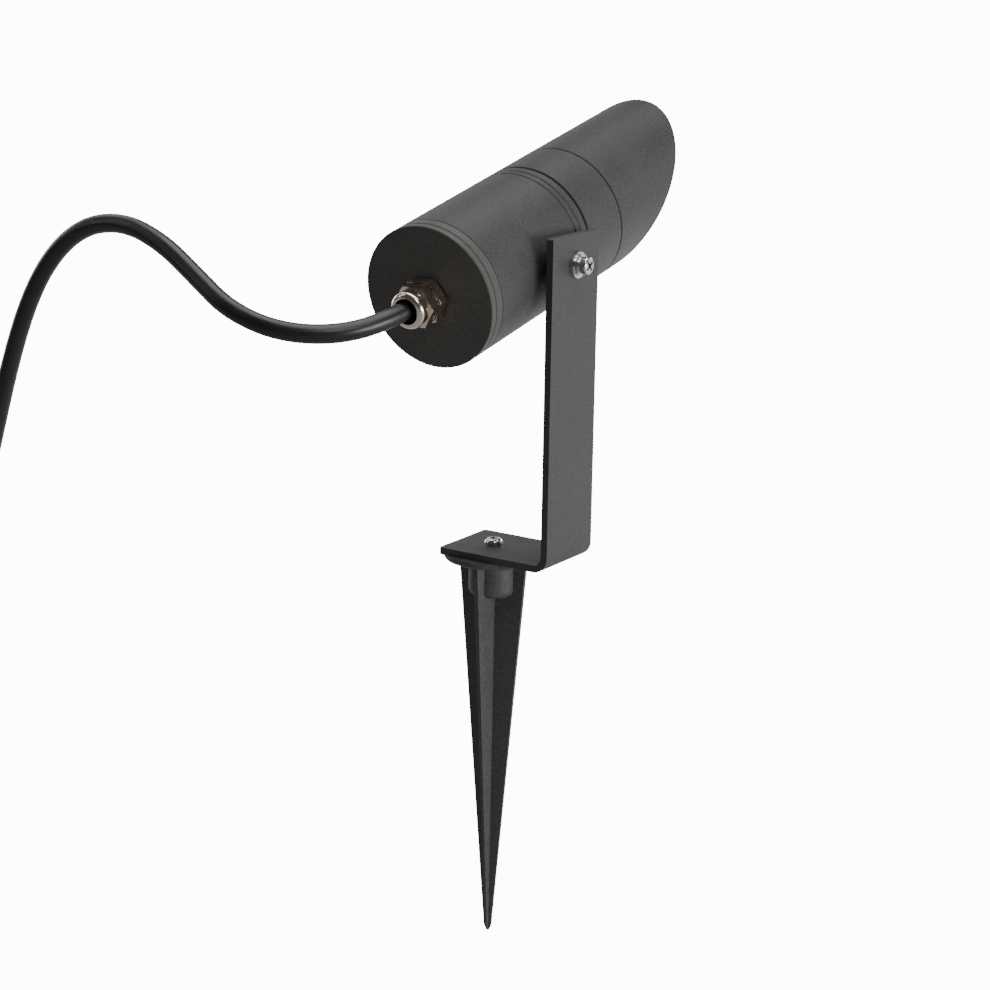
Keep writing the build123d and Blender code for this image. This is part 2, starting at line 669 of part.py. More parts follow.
GRUB_TOP = TUBE_RADIUS - GRUB_TOP_SUNK
GRUB_SHOULDER = SPIGOT_RADIUS + 2 * RUNNING
GRUB_TIP = SPIGOT_RADIUS - LOCK_GROOVE_DEPTH + 2 * RUNNING


def grub_plane(radius):
    """The plane across the lock screw, which comes in from under the hood."""
    return Plane(
        origin=PIVOT + AIM * LOCK_GROOVE_STATION - RISE * radius, x_dir=(1, 0, 0), z_dir=-RISE
    )


with BuildPart() as hood_lock_screw:
    with BuildSketch(grub_plane(GRUB_SHOULDER)):
        Circle(GRUB_RADIUS)
    extrude(amount=GRUB_TOP - GRUB_SHOULDER)
    with BuildSketch(grub_plane(GRUB_TIP)):
        Circle(GRUB_TIP_RADIUS)
    extrude(amount=GRUB_SHOULDER - GRUB_TIP)
    with BuildSketch(grub_plane(GRUB_TOP)):
        RegularPolygon(GRUB_SOCKET / 2, 6, major_radius=False)
    extrude(amount=-GRUB_SOCKET_DEPTH, mode=Mode.SUBTRACT)
save(hood_lock_screw, "hood_lock_screw")

# ---- cable gland ------------------------------------------------------------------------------

WASHER_REAR = REAR_FACE - GLAND_SEAL_WASHER
BASE_REAR = WASHER_REAR - GLAND_BASE_HEX
NUT_FRONT = BASE_REAR - GLAND_WAIST
NUT_REAR = NUT_FRONT - CAP_NUT_HEX
GLAND_END = REAR_FACE - GLAND_LENGTH
LOCKNUT_FRONT = CAP_INNER_FACE + LOCKNUT_HEIGHT
STUB_FRONT = LOCKNUT_FRONT + STUB_PAST_LOCKNUT
SEAL_FRONT = REAR_FACE - SEAL_FROM_FACE
SEAL_REAR = SEAL_FRONT - SEAL_LENGTH
HEX_CORNER_RATIO = 1 / math.cos(math.radians(30))


def hexagon(station, length, flats, turn):
    """A hexagonal bar along the head's axis, its outer corners turned down to a bevel."""
    with BuildSketch(at_station(station)) as flat_sides:
        RegularPolygon(flats / 2, 6, major_radius=False, rotation=turn)
    extrude(flat_sides.sketch, amount=length)
    corner = flats / 2 * HEX_CORNER_RATIO
    bevel = corner - flats / 2
    with BuildSketch(HEAD_SECTION) as turned_ends:
        with BuildLine():
            Polyline(
                (0, station),
                (flats / 2 + bevel * BEVEL_SHARE, station),
                (corner, station + bevel * BEVEL_SLOPE),
                (corner, station + length - bevel * BEVEL_SLOPE),
                (flats / 2 + bevel * BEVEL_SHARE, station + length),
                (0, station + length),
                close=True,
            )
        make_face()
    revolve(turned_ends.sketch, axis=HEAD_AXIS, mode=Mode.INTERSECT)


with BuildPart() as gland_seal_washer:
    with BuildSketch(at_station(REAR_FACE)):
        Circle(GLAND_SEAL_WASHER_RADIUS)
        Circle(GLAND_THREAD_RADIUS + FIT, mode=Mode.SUBTRACT)
    extrude(amount=-GLAND_SEAL_WASHER)
save(gland_seal_washer, "gland_seal_washer")

with BuildPart() as gland_body:
    hexagon(BASE_REAR, GLAND_BASE_HEX, GLAND_FLATS, BASE_TURN)
    turned(
        [
            (0, SEAL_REAR + SEAL_LENGTH / 3),
            (GLAND_WAIST_RADIUS - 4 * FIT, SEAL_REAR + SEAL_LENGTH / 3),
            (GLAND_WAIST_RADIUS - 4 * FIT, BASE_REAR),
            (GLAND_THREAD_RADIUS, WASHER_REAR),
            (GLAND_THREAD_RADIUS, STUB_FRONT),
            (0, STUB_FRONT),
        ]
    )
    with BuildSketch(at_station(STUB_FRONT)):
        Circle(GLAND_BORE)
    extrude(amount=-GLAND_LENGTH - REAR_BORE, mode=Mode.SUBTRACT)
    with BuildSketch(at_station(SEAL_FRONT)):
        Circle(GLAND_SOCKET_RADIUS)
    extrude(amount=-SEAL_LENGTH, mode=Mode.SUBTRACT)
save(gland_body, "gland_body")

with BuildPart() as gland_locknut:
    hexagon(CAP_INNER_FACE, LOCKNUT_HEIGHT, LOCKNUT_FLATS, LOCKNUT_TURN)
    with BuildSketch(at_station(CAP_INNER_FACE)):
        Circle(GLAND_THREAD_RADIUS + FIT)
    extrude(amount=LOCKNUT_HEIGHT, mode=Mode.SUBTRACT)
save(gland_locknut, "gland_locknut")

with BuildPart() as gland_seal:
    with BuildSketch(at_station(SEAL_FRONT)):
        Circle(GLAND_SOCKET_RADIUS - FIT)
        Circle(CORD_RADIUS + FIT, mode=Mode.SUBTRACT)
    extrude(amount=-SEAL_LENGTH)
save(gland_seal, "gland_seal")

with BuildPart() as gland_cap_nut:
    hexagon(NUT_REAR, CAP_NUT_HEX, CAP_NUT_FLATS, CAP_NUT_TURN)
    with BuildSketch(HEAD_SECTION):
        with BuildLine():
            Line((0, NUT_REAR), (CAP_NUT_NOSE_RADIUS, NUT_REAR))
            Line((CAP_NUT_NOSE_RADIUS, NUT_REAR), (CAP_NUT_NOSE_RADIUS, GLAND_END + CAP_NUT_LIP_RADIUS))
            RadiusArc(
                (CAP_NUT_NOSE_RADIUS, GLAND_END + CAP_NUT_LIP_RADIUS),
                (CAP_NUT_NOSE_RADIUS - CAP_NUT_LIP_RADIUS, GLAND_END),
                CAP_NUT_LIP_RADIUS,
            )
            Line((CAP_NUT_NOSE_RADIUS - CAP_NUT_LIP_RADIUS, GLAND_END), (0, GLAND_END))
            Line((0, GLAND_END), (0, NUT_REAR))
        make_face()
    revolve(axis=HEAD_AXIS)
    with BuildSketch(HEAD_SECTION):
        with BuildLine():
            Polyline(
                (0, NUT_FRONT),
                (GLAND_WAIST_RADIUS, NUT_FRONT),
                (GLAND_WAIST_RADIUS, SEAL_REAR + SEAL_LENGTH / 3 - FIT),
                (GLAND_SOCKET_RADIUS + FIT, SEAL_REAR - FIT),
                (CAP_NUT_MOUTH_RADIUS, SEAL_REAR - SEAT),
                (CAP_NUT_MOUTH_RADIUS, GLAND_END),
                (0, GLAND_END),
                close=True,
            )
        make_face()
    revolve(axis=HEAD_AXIS, mode=Mode.SUBTRACT)
save(gland_cap_nut, "gland_cap_nut")

# ---- lamp holder, lamp and wiring inside ------------------------------------------------------

with BuildPart() as holder_plate:
    with BuildSketch(at_station(HOLDER_REAR)):
        Circle(REAR_BORE - RUNNING)
        Rectangle(PIN_SPACING * 2, PIN_SPACING / 2, mode=Mode.SUBTRACT)
        with Locations((0, EARTH_OFFSET)):
            Circle(HOLDER_SCREW_RADIUS + FIT, mode=Mode.SUBTRACT)
        with GridLocations(0, HOLDER_SCREW_SPACING, 1, 2):
            Circle(HOLDER_SCREW_RADIUS + RUNNING, mode=Mode.SUBTRACT)
    extrude(amount=HOLDER_PLATE)
save(holder_plate, "holder_plate")

with BuildPart() as plate_circlip:
    with BuildSketch(at_station(HOLDER_REAR - CIRCLIP_SECTION)):
        Circle(REAR_BORE + CIRCLIP_GROOVE_DEPTH - RUNNING)
        Circle(REAR_BORE + CIRCLIP_GROOVE_DEPTH - CIRCLIP_WIDTH, mode=Mode.SUBTRACT)
        with Locations((0, -REAR_BORE)):
            Rectangle(CIRCLIP_OPENING, 3 * CIRCLIP_WIDTH, mode=Mode.SUBTRACT)
    extrude(amount=CIRCLIP_SECTION)
save(plate_circlip, "plate_circlip")

with BuildPart() as lamp_holder:
    with BuildSketch(at_station(HOLDER_PLATE_STATION)):
        Circle(HOLDER_RADIUS)
    extrude(amount=HOLDER_LENGTH)
    fillet(lamp_holder.edges().group_by(HEAD_AXIS)[-1], HOLDER_EDGE)
    with BuildSketch(at_station(HOLDER_FRONT)):
        with GridLocations(PIN_SPACING, 0, 2, 1):
            Circle(PIN_KNOB_RADIUS + SEAT)
    extrude(amount=-PIN_LENGTH - 2 * SEAT, mode=Mode.SUBTRACT)
    with BuildSketch(at_station(HOLDER_PLATE_STATION)):
        with GridLocations(0, HOLDER_SCREW_SPACING, 1, 2):
            Circle(HOLDER_SCREW_RADIUS + FIT)
    extrude(amount=HOLDER_SCREW_LENGTH, mode=Mode.SUBTRACT)
    with BuildSketch(at_station(HOLDER_PLATE_STATION)):
        with GridLocations(PIN_SPACING, 0, 2, 1):
            Circle(LEAD_RADIUS + RUNNING)
    extrude(amount=LEAD_SINK, mode=Mode.SUBTRACT)
save(lamp_holder, "lamp_holder")

with BuildPart() as holder_screws:
    with BuildSketch(at_station(HOLDER_REAR)):
        with GridLocations(0, HOLDER_SCREW_SPACING, 1, 2):
            Circle(HOLDER_SCREW_HEAD)
    extrude(amount=-HOLDER_SCREW_RADIUS)
    with BuildSketch(at_station(HOLDER_REAR)):
        with GridLocations(0, HOLDER_SCREW_SPACING, 1, 2):
            Circle(HOLDER_SCREW_RADIUS)
    extrude(amount=HOLDER_PLATE + HOLDER_SCREW_LENGTH - SEAT)
    with BuildSketch(at_station(HOLDER_REAR - HOLDER_SCREW_RADIUS)):
        with GridLocations(0, HOLDER_SCREW_SPACING, 1, 2):
            Rectangle(2 * HOLDER_SCREW_HEAD, HOLDER_SCREW_SLOT)
    extrude(amount=HOLDER_SCREW_SLOT, mode=Mode.SUBTRACT)
save(holder_screws, "holder_screws")

with BuildPart() as lamp_housing:
    turned(
        [
            (0, LAMP_REAR),
            (LAMP_BASE_RADIUS - 1, LAMP_REAR),
            (LAMP_BASE_RADIUS, LAMP_REAR + 1),
            (LAMP_BASE_RADIUS + 1.5, LAMP_REAR + LAMP_BASE_LENGTH),
            (LAMP_RADIUS - 1.5, LAMP_FRONT - LAMP_RIM),
            (LAMP_RADIUS, LAMP_FRONT - LAMP_RIM + 1.5),
            (LAMP_RADIUS, LAMP_FRONT),
            (LENS_RADIUS + FIT, LAMP_FRONT),
            (LENS_RADIUS + FIT, LAMP_FRONT - LENS_THICKNESS),
            (LENS_RADIUS - 1, LAMP_FRONT - LENS_THICKNESS),
            (BOARD_RADIUS + FIT, LAMP_FRONT - BOARD_DEPTH),
            (BOARD_RADIUS + FIT, LAMP_FRONT - BOARD_DEPTH - BOARD_THICKNESS),
            (LAMP_BASE_RADIUS, LAMP_FRONT - BOARD_DEPTH - BOARD_THICKNESS),
            (LAMP_BASE_RADIUS - LAMP_SHELL, LAMP_REAR + LAMP_BASE_LENGTH),
            (LAMP_BASE_RADIUS - LAMP_SHELL - 1, LAMP_REAR + 2 * LAMP_SHELL),
            (0, LAMP_REAR + 2 * LAMP_SHELL),
        ]
    )
    with BuildSketch(at_station(LAMP_REAR)):
        with GridLocations(PIN_SPACING, 0, 2, 1):
            Circle(PIN_RADIUS + FIT)
    extrude(amount=2 * LAMP_SHELL, mode=Mode.SUBTRACT)
save(lamp_housing, "lamp_housing")

with BuildPart() as lamp_pins:
    with BuildSketch(at_station(LAMP_REAR + 2 * LAMP_SHELL)):
        with GridLocations(PIN_SPACING, 0, 2, 1):
            Circle(PIN_RADIUS)
    extrude(amount=-2 * LAMP_SHELL - PIN_LENGTH)
    with BuildSketch(at_station(LAMP_REAR - PIN_LENGTH)):
        with GridLocations(PIN_SPACING, 0, 2, 1):
            Circle(PIN_KNOB_RADIUS)
    extrude(amount=PIN_KNOB_LENGTH)
save(lamp_pins, "lamp_pins")

BOARD_REAR = LAMP_FRONT - BOARD_DEPTH - BOARD_THICKNESS

with BuildPart() as led_board:
    with BuildSketch(at_station(BOARD_REAR)):
        Circle(BOARD_RADIUS)
    extrude(amount=BOARD_THICKNESS)
save(led_board, "led_board")

with BuildPart() as led_chips:
    with BuildSketch(at_station(BOARD_REAR + BOARD_THICKNESS)):
        Rectangle(LED_SIZE, LED_SIZE)
        with PolarLocations(LENS_RING_RADIUS, LENS_COUNT):
            Rectangle(LED_SIZE, LED_SIZE)
    extrude(amount=LED_HEIGHT)
save(led_chips, "led_chips")

with BuildPart() as lamp_lens:
    with BuildSketch(at_station(LAMP_FRONT)):
        Circle(LENS_RADIUS)
    extrude(amount=-LENS_THICKNESS)
    with BuildSketch(HEAD_SECTION, mode=Mode.PRIVATE) as dome_section:
        with BuildLine():
            Line((0, LAMP_FRONT - LENS_THICKNESS), (LENS_DOME_RADIUS, LAMP_FRONT - LENS_THICKNESS))
            Line(
                (LENS_DOME_RADIUS, LAMP_FRONT - LENS_THICKNESS),
                (LENS_DOME_RADIUS * 0.4, LAMP_FRONT - LENS_THICKNESS - LENS_DOME_SINK),
            )
            Line(
                (LENS_DOME_RADIUS * 0.4, LAMP_FRONT - LENS_THICKNESS - LENS_DOME_SINK),
                (0, LAMP_FRONT - LENS_THICKNESS - LENS_DOME_SINK),
            )
            Line((0, LAMP_FRONT - LENS_THICKNESS - LENS_DOME_SINK), (0, LAMP_FRONT - LENS_THICKNESS))
        make_face()
    cone = revolve(dome_section.sketch, axis=HEAD_AXIS)
    for turn in range(LENS_COUNT):
        around = math.radians(turn * 360 / LENS_COUNT)
        shift = Vector(math.cos(around), 0, 0) + RISE * math.sin(around)
        add(cone.moved(Location(shift * LENS_RING_RADIUS)))
save(lamp_lens, "lamp_lens")

BLOCK_FRONT = HOLDER_REAR - CIRCLIP_SECTION - BLOCK_FRONT_GAP
BLOCK_REAR = BLOCK_FRONT - BLOCK_SIZE[2]

with BuildPart() as terminal_block:
    with BuildSketch(at_station(BLOCK_REAR)):
        with Locations((0, BLOCK_OFFSET)):
            Rectangle(BLOCK_SIZE[0], BLOCK_SIZE[1])
        with Locations((0, BLOCK_OFFSET)):
            with GridLocations(CORE_SPACING, 0, 3, 1):
                Circle(CORE_RADIUS + RUNNING, mode=Mode.SUBTRACT)
    extrude(amount=BLOCK_SIZE[2])
    with BuildSketch(at_station(BLOCK_FRONT)):
        with Locations((0, BLOCK_OFFSET)):
            with GridLocations(CORE_SPACING, 0, 2, 1):
                Circle(BLOCK_PEG_RADIUS)
    extrude(amount=HOLDER_REAR - BLOCK_FRONT)
save(terminal_block, "terminal_block")


def head_point(side, height, station):
    """A point by its place in the head: along the row's X, up, and along the head's axis."""
    return PIVOT + Vector(side, 0, 0) + RISE * height + AIM * station


def wire_solid(points, bend, radius):
    """A round wire along straight runs that are joined by bends of one radius."""
    with BuildPart() as wire:
        with BuildLine() as path:
            FilletPolyline(*points, radius=bend)
        with BuildSketch(Plane(origin=points[0], z_dir=points[1] - points[0])):
            Circle(radius)
        sweep(path=path.wires()[0])
    return wire.part


CORE_ANGLES = (90, 210, 330)  # of the three cores round the cord's middle

with BuildPart() as cable_cores:
    for core, side in zip(CORE_ANGLES, (0, -CORE_SPACING, CORE_SPACING)):
        core_side = CORE_OFFSET * math.cos(math.radians(core))
        core_up = CORE_OFFSET * math.sin(math.radians(core))
        core_route = [
            head_point(core_side, core_up, CORD_START),
            head_point(core_side, core_up, CORD_START + CORE_BEND),
            head_point(side, BLOCK_OFFSET, BLOCK_REAR - CORE_BEND),
            head_point(side, BLOCK_OFFSET, BLOCK_REAR + BLOCK_SINK),
        ]
        add(wire_solid(core_route, CORE_BEND, CORE_RADIUS))
save(cable_cores, "cable_cores")

with BuildPart() as lamp_leads:
    for side in (-1, 1):
        lead_route = [
            head_point(side * CORE_SPACING, BLOCK_OFFSET, BLOCK_FRONT - BLOCK_SINK),
            head_point(side * CORE_SPACING, BLOCK_OFFSET, BLOCK_FRONT + LEAD_BEND),
            head_point(side * PIN_SPACING / 2, 0, BLOCK_FRONT + LEAD_BEND),
            head_point(side * PIN_SPACING / 2, 0, HOLDER_PLATE_STATION + LEAD_SINK - SEAT),
        ]
        add(wire_solid(lead_route, LEAD_BEND, LEAD_RADIUS))
save(lamp_leads, "lamp_leads")

LUG_REAR = HOLDER_REAR - LUG_THICKNESS

with BuildPart() as earth_lead:
    with BuildSketch(at_station(BLOCK_FRONT - BLOCK_SINK)):
        with Locations((0, BLOCK_OFFSET)):
            Circle(LEAD_RADIUS)
    extrude(amount=LUG_REAR - BLOCK_FRONT + BLOCK_SINK)
save(earth_lead, "earth_lead")

with BuildPart() as earth_lug:
    with BuildSketch(at_station(LUG_REAR)):
        with Locations((0, EARTH_OFFSET)):
            Circle(LUG_RADIUS)
        with Locations((0, EARTH_OFFSET - LUG_TONGUE / 2)):
            Rectangle(LUG_TONGUE_WIDTH, LUG_TONGUE)
        with Locations((0, EARTH_OFFSET)):
            Circle(HOLDER_SCREW_RADIUS + FIT, mode=Mode.SUBTRACT)
    extrude(amount=LUG_THICKNESS)
save(earth_lug, "earth_lug")

with BuildPart() as earth_screw:
    with BuildSketch(at_station(LUG_REAR)):
        with Locations((0, EARTH_OFFSET)):
            Circle(HOLDER_SCREW_RADIUS)
    extrude(amount=HOLDER_PLATE + LUG_THICKNESS)
    with BuildSketch(at_station(LUG_REAR)):
        with Locations((0, EARTH_OFFSET)):
            Circle(HOLDER_SCREW_HEAD)
    extrude(amount=-HOLDER_SCREW_RADIUS)
    with BuildSketch(at_station(LUG_REAR - HOLDER_SCREW_RADIUS)):
        with Locations((0, EARTH_OFFSET)):
            Rectangle(2 * HOLDER_SCREW_HEAD, HOLDER_SCREW_SLOT)
    extrude(amount=HOLDER_SCREW_SLOT, mode=Mode.SUBTRACT)
save(earth_screw, "earth_screw")

# ---- cord -------------------------------------------------------------------------------------


def corner_radii(points):
    """For each corner of a route, the largest arc that its two runs allow, printed as it is made."""
    radii = []
    for before, corner, after in zip(points, points[1:], points[2:]):
        turn = math.radians((corner - before).get_angle(after - corner))
        shorter = min((corner - before).length, (after - corner).length)
        radii.append(ARC_SHARE * shorter / math.tan(turn / 2))
    print("cord radii", [round(radius, 1) for radius in radii])
    return radii


COIL_MIDDLE = Vector(COIL_CENTRE[0], COIL_CENTRE[1], COIL_FLOOR)
COIL_TURNS = TURNS_IN + TURNS_CLIMB + TURNS_OUT


def coil_point(turns):
    """A point of the coil: in along the floor, up a layer as the spiral turns back, and out again."""
    climb = min(max((turns - TURNS_IN) / TURNS_CLIMB, 0), 1)
    inwards = min(turns, TURNS_IN) * COIL_PITCH
    back = COIL_PITCH * TURNS_CLIMB * (climb - climb**2)
    outwards = max(turns - TURNS_IN - TURNS_CLIMB, 0) * COIL_PITCH
    radius = COIL_OUTER - inwards - back + outwards
    angle = math.radians(-90 - 360 * turns)
    height = COIL_LAYER * climb**2 * (3 - 2 * climb)
    return COIL_MIDDLE + Vector(radius * math.cos(angle), radius * math.sin(angle), height)


def coil_direction(turns, step=0.0001):
    """The way the cord runs at a point of the coil."""
    first = max(turns - step, 0)
    last = min(turns + step, COIL_TURNS)
    return (coil_point(last) - coil_point(first)).normalized()


coil_start = coil_point(0) - coil_direction(0) * (2 * CORD_RADIUS)
landing = coil_point(0) - coil_direction(0) * LANDING_RUN
cord_route = [
    PIVOT + AIM * CORD_START,
    PIVOT + AIM * CORD_OUT,
    *[Vector(*point) for point in CURL],
    *[Vector(*point) for point in FALL],
    landing,
    coil_start,
]
cord_radii = corner_radii(cord_route)
LAST_CURL = 1 + len(CURL)
cord_parting = (cord_route[LAST_CURL] + cord_route[LAST_CURL + 1]) * 0.5

with BuildPart() as cord_lead:
    with BuildLine() as lead_path:
        FilletPolyline(*cord_route[: LAST_CURL + 1], cord_parting, radius=cord_radii[:LAST_CURL])
    with BuildSketch(Plane(origin=cord_route[0], z_dir=-AIM)):
        Circle(CORD_RADIUS)
    sweep(path=lead_path.wires()[0])
save(cord_lead, "cord_lead")

with BuildPart() as cord_fall:
    with BuildLine() as fall_path:
        FilletPolyline(cord_parting, *cord_route[LAST_CURL + 1 :], radius=cord_radii[LAST_CURL:])
    with BuildSketch(Plane(origin=cord_parting, z_dir=cord_route[LAST_CURL + 1] - cord_parting)):
        Circle(CORD_RADIUS)
    sweep(path=fall_path.wires()[0])
save(cord_fall, "cord_fall")


def biarc(start, start_way, end, end_way):
    """The two tangent arcs between two points: their meeting point and the way they run there."""
    span = end - start
    ways = start_way + end_way
    spread = 2 * (1 - start_way.dot(end_way))
    root = math.sqrt(span.dot(ways) ** 2 + spread * span.dot(span))
    reach = (root - span.dot(ways)) / spread
    first = start + start_way * reach
    second = end - end_way * reach
    return (first + second) * 0.5, (second - first).normalized()


arc_count = math.ceil(COIL_TURNS * ARCS_PER_TURN)
coil_stops = [COIL_TURNS * arc / arc_count for arc in range(arc_count + 1)]
coil_end = coil_point(COIL_TURNS) + coil_direction(COIL_TURNS) * TAIL_LENGTH

with BuildPart() as cord_coil:
    with BuildLine() as coil_path:
        Line(coil_start, coil_point(0))
        for this_stop, next_stop in zip(coil_stops, coil_stops[1:]):
            here = coil_point(this_stop)
            there = coil_point(next_stop)
            meeting, way = biarc(here, coil_direction(this_stop), there, coil_direction(next_stop))
            TangentArc(here, meeting, tangent=coil_direction(this_stop))
            TangentArc(meeting, there, tangent=way)
        Line(coil_point(COIL_TURNS), coil_end)
    with BuildSketch(Plane(origin=coil_start, z_dir=coil_direction(0))):
        Circle(CORD_RADIUS)
    sweep(path=coil_path.wires()[0])
save(cord_coil, "cord_coil")

TIE_INNER = CORD_RADIUS + TIE_SLACK
TIE_MIDDLE_RADIUS = COIL_OUTER - COIL_PITCH
TIE_HALF_SPAN = COIL_PITCH / 2 + TIE_INNER
TIE_HALF_HEIGHT = COIL_LAYER / 2 + TIE_INNER

with BuildPart() as cord_tie:
    tie_middle = COIL_MIDDLE + Vector(0, TIE_MIDDLE_RADIUS, COIL_LAYER / 2)
    with BuildSketch(Plane(origin=tie_middle, x_dir=(0, 1, 0), z_dir=(1, 0, 0))):
        RectangleRounded(
            2 * (TIE_HALF_SPAN + TIE_THICKNESS),
            2 * (TIE_HALF_HEIGHT + TIE_THICKNESS),
            CORD_RADIUS + TIE_THICKNESS,
        )
        RectangleRounded(2 * TIE_HALF_SPAN, 2 * TIE_HALF_HEIGHT, CORD_RADIUS, mode=Mode.SUBTRACT)
    extrude(amount=TIE_WIDTH / 2, both=True)
    with BuildSketch(Plane.XY.offset(tie_middle.Z + TIE_HALF_HEIGHT + TIE_THICKNESS / 2)):
        with Locations((tie_middle.X, tie_middle.Y)):
            Rectangle(TIE_HEAD[0], TIE_HEAD[1])
    extrude(amount=TIE_HEAD[2])
save(cord_tie, "cord_tie")

coil_way = coil_direction(COIL_TURNS)
coil_side = coil_way.cross(Vector(0, 0, 1)).normalized()
for core, core_name in zip(CORE_ANGLES, ("core_green_yellow", "core_brown", "core_blue")):
    outward = coil_side * math.cos(math.radians(core)) + Vector(0, 0, math.sin(math.radians(core)))
    core_start = coil_end + outward * CORE_OFFSET
    core_end = core_start + coil_way * CORE_FREE_LENGTH + outward * CORE_SPLAY
    with BuildPart() as free_core:
        with BuildLine() as core_path:
            TangentArc(core_start, core_end, tangent=coil_way)
        with BuildSketch(Plane(origin=core_start, z_dir=coil_way)):
            Circle(CORE_END_RADIUS)
        sweep(path=core_path.wires()[0])
    save(free_core, core_name)
    if core == CORE_ANGLES[0]:
        core_ends = []
    core_ends.append((core_path.wires()[0] @ 1, core_path.wires()[0] % 1))

with BuildPart() as core_ferrules:
    for ferrule_start, ferrule_way in core_ends:
        with BuildSketch(Plane(origin=ferrule_start, z_dir=ferrule_way)):
            Circle(FERRULE_RADIUS)
        extrude(amount=FERRULE_LENGTH)
save(core_ferrules, "core_ferrules")

# ---- what the cord measures -------------------------------------------------------------------

GAP_STEPS = 720
line = [coil_point(COIL_TURNS * step / GAP_STEPS) for step in range(GAP_STEPS + 1)]
apart = round(GAP_STEPS / COIL_TURNS / 2)
least = min(
    (line[i] - line[j]).length for i in range(len(line)) for j in range(i + apart, len(line), 4)
)
print("coil gap to itself", round(least - 2 * CORD_RADIUS, 2))
lead_length = lead_path.wires()[0].length
fall_length = fall_path.wires()[0].length
coil_length = coil_path.wires()[0].length
inside_length = GLAND_END - CORD_START
print("cord length outside", round(lead_length + inside_length + fall_length + coil_length, 1))
section_area = math.pi * CORD_RADIUS**2
for piece, length in ((cord_lead, lead_length), (cord_fall, fall_length), (cord_coil, coil_length)):
    print(piece.part.label, round(length, 1), round(piece.part.volume / (section_area * length), 4))
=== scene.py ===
"""Garden spike spotlight: finishes, cord, floor, light and camera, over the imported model's frame."""

import math

import bmesh
import bpy
from mathutils import Matrix, Vector


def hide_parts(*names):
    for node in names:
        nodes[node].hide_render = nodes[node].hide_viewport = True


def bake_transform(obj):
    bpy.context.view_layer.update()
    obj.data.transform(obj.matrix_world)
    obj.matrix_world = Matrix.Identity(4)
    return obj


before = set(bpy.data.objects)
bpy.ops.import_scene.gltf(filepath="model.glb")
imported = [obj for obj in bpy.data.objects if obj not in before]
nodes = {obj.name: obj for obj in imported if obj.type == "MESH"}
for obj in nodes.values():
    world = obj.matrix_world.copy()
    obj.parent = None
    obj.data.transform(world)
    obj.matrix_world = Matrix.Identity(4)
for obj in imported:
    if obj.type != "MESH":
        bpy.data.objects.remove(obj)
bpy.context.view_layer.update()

# Metres, from the underside of the spike's flange: the head's pivot and aim, and the floor,
# which lies at the spike's point.
HEAD_TILT = math.radians(12.2)
PIVOT = Vector((0, 0, 0.1297))
AIM = Vector((0, math.cos(HEAD_TILT), math.sin(HEAD_TILT)))
FLOOR_HEIGHT = -0.171

# ---- node groups that several finishes share --------------------------------------------------

GRAIN_SPAN = (0.38, 0.64)
MOTTLE_SPAN = (0.3, 0.7)
GRAIN_SHARE = 0.84
MOTTLE_SHARE = 0.16
MARK_STRETCH = (1.0, 0.12, 0.12)
MARK_SPAN = (0.35, 0.65)
SMUDGE_SCALE = 140.0


def new_group(name, inputs, outputs):
    """A shader node group with named float or colour sockets, and its two end nodes."""
    group = bpy.data.node_groups.new(name, "ShaderNodeTree")
    for label, kind, value in inputs:
        socket = group.interface.new_socket(name=label, in_out="INPUT", socket_type=kind)
        socket.default_value = value
    for label, kind in outputs:
        group.interface.new_socket(name=label, in_out="OUTPUT", socket_type=kind)
    return group, group.nodes.new("NodeGroupInput"), group.nodes.new("NodeGroupOutput")


def feed(tree, socket, value):
    """Link another socket into an input, or set the input to a plain number or colour."""
    if isinstance(value, bpy.types.NodeSocket):
        tree.links.new(value, socket)
    else:
        socket.default_value = value


def math_node(tree, operation, first, second):
    """A math node on two sockets or numbers; gives its output socket."""
    node = tree.nodes.new("ShaderNodeMath")
    node.operation = operation
    feed(tree, node.inputs[0], first)
    feed(tree, node.inputs[1], second)
    return node.outputs[0]


def noise(tree, vector, scale, detail=2.0, roughness=0.5):
    """A noise texture on a vector socket, with its scale as a number or a socket."""
    node = tree.nodes.new("ShaderNodeTexNoise")
    tree.links.new(vector, node.inputs["Vector"])
    feed(tree, node.inputs["Scale"], scale)
    node.inputs["Detail"].default_value = detail
    node.inputs["Roughness"].default_value = roughness
    return node.outputs["Fac"]


def spread(tree, value, low, high, start=0.0, end=1.0):
    """Map a socket's span onto another span, whose ends are sockets or numbers."""
    node = tree.nodes.new("ShaderNodeMapRange")
    tree.links.new(value, node.inputs["Value"])
    node.inputs["From Min"].default_value = low
    node.inputs["From Max"].default_value = high
    feed(tree, node.inputs["To Min"], start)
    feed(tree, node.inputs["To Max"], end)
    return node.outputs["Result"]


def blend_colours(tree, mask, first, second):
    """Mix two colours, given as sockets or as colours, by a mask socket."""
    node = tree.nodes.new("ShaderNodeMix")
    node.data_type = "RGBA"
    tree.links.new(mask, node.inputs["Factor"])
    for label, colour in (("A", first), ("B", second)):
        sockets = [s for s in node.inputs if s.name == label and s.type == "RGBA"]
        feed(tree, sockets[0], colour)
    return [s for s in node.outputs if s.type == "RGBA"][0]


